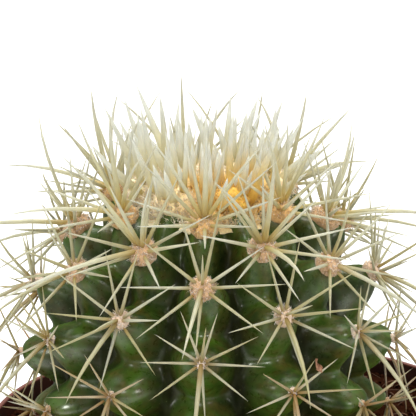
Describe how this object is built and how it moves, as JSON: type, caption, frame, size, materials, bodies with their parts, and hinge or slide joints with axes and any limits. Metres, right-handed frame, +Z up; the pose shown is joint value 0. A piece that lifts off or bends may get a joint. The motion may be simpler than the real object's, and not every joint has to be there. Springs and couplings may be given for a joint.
{
  "type": "potted round cactus",
  "caption": "Young golden barrel cactus, ribbed and tubercled, with clusters of long pale spines, in a round tapered plastic nursery pot of peat.",
  "frame": {"origin": "middle of the pot's flat underside", "axes": "+Z up along the pot's axis, -Y towards the front, +X to the right seen from the front"},
  "size_m": [0.131, 0.1254, 0.1823],
  "materials": {
    "pot_plastic": "terracotta-brown injection-moulded plastic, satin",
    "peat": "dark loose peat with fibres, matte",
    "stem_skin": "dark green waxy living skin, semi-gloss",
    "spines_and_wool": "cream horn-like spines on short beige felt",
    "crown_wool_and_spines": "golden felted wool with pale young spines"
  },
  "bodies": {
    "root": {"pot": "pot_plastic", "soil": "peat", "stem": "stem_skin", "crown": "crown_wool_and_spines", "areole_rib01_row1": "spines_and_wool", "areole_rib01_row2": "spines_and_wool", "areole_rib01_row3": "spines_and_wool", "areole_rib01_row4": "spines_and_wool", "areole_rib02_row1": "spines_and_wool", "areole_rib02_row2": "spines_and_wool", "areole_rib02_row3": "spines_and_wool", "areole_rib02_row4": "spines_and_wool", "areole_rib03_row1": "spines_and_wool", "areole_rib03_row2": "spines_and_wool", "areole_rib03_row3": "spines_and_wool", "areole_rib03_row4": "spines_and_wool", "areole_rib04_row1": "spines_and_wool", "areole_rib04_row2": "spines_and_wool", "areole_rib04_row3": "spines_and_wool", "areole_rib04_row4": "spines_and_wool", "areole_rib05_row1": "spines_and_wool", "areole_rib05_row2": "spines_and_wool", "areole_rib05_row3": "spines_and_wool", "areole_rib06_row1": "spines_and_wool", "areole_rib06_row2": "spines_and_wool", "areole_rib06_row3": "spines_and_wool", "areole_rib06_row4": "spines_and_wool", "areole_rib07_row1": "spines_and_wool", "areole_rib07_row2": "spines_and_wool", "areole_rib07_row3": "spines_and_wool", "areole_rib08_row1": "spines_and_wool", "areole_rib08_row2": "spines_and_wool", "areole_rib08_row3": "spines_and_wool", "areole_rib08_row4": "spines_and_wool", "areole_rib09_row1": "spines_and_wool", "areole_rib09_row2": "spines_and_wool", "areole_rib09_row3": "spines_and_wool", "areole_rib09_row4": "spines_and_wool", "areole_rib10_row1": "spines_and_wool", "areole_rib10_row2": "spines_and_wool", "areole_rib10_row3": "spines_and_wool", "areole_rib10_row4": "spines_and_wool", "areole_rib11_row1": "spines_and_wool", "areole_rib11_row2": "spines_and_wool", "areole_rib11_row3": "spines_and_wool", "areole_rib11_row4": "spines_and_wool", "areole_rib12_row1": "spines_and_wool", "areole_rib12_row2": "spines_and_wool", "areole_rib12_row3": "spines_and_wool", "areole_rib12_row4": "spines_and_wool", "areole_rib13_row1": "spines_and_wool", "areole_rib13_row2": "spines_and_wool", "areole_rib13_row3": "spines_and_wool", "areole_rib13_row4": "spines_and_wool"}
  },
  "joints": []
}
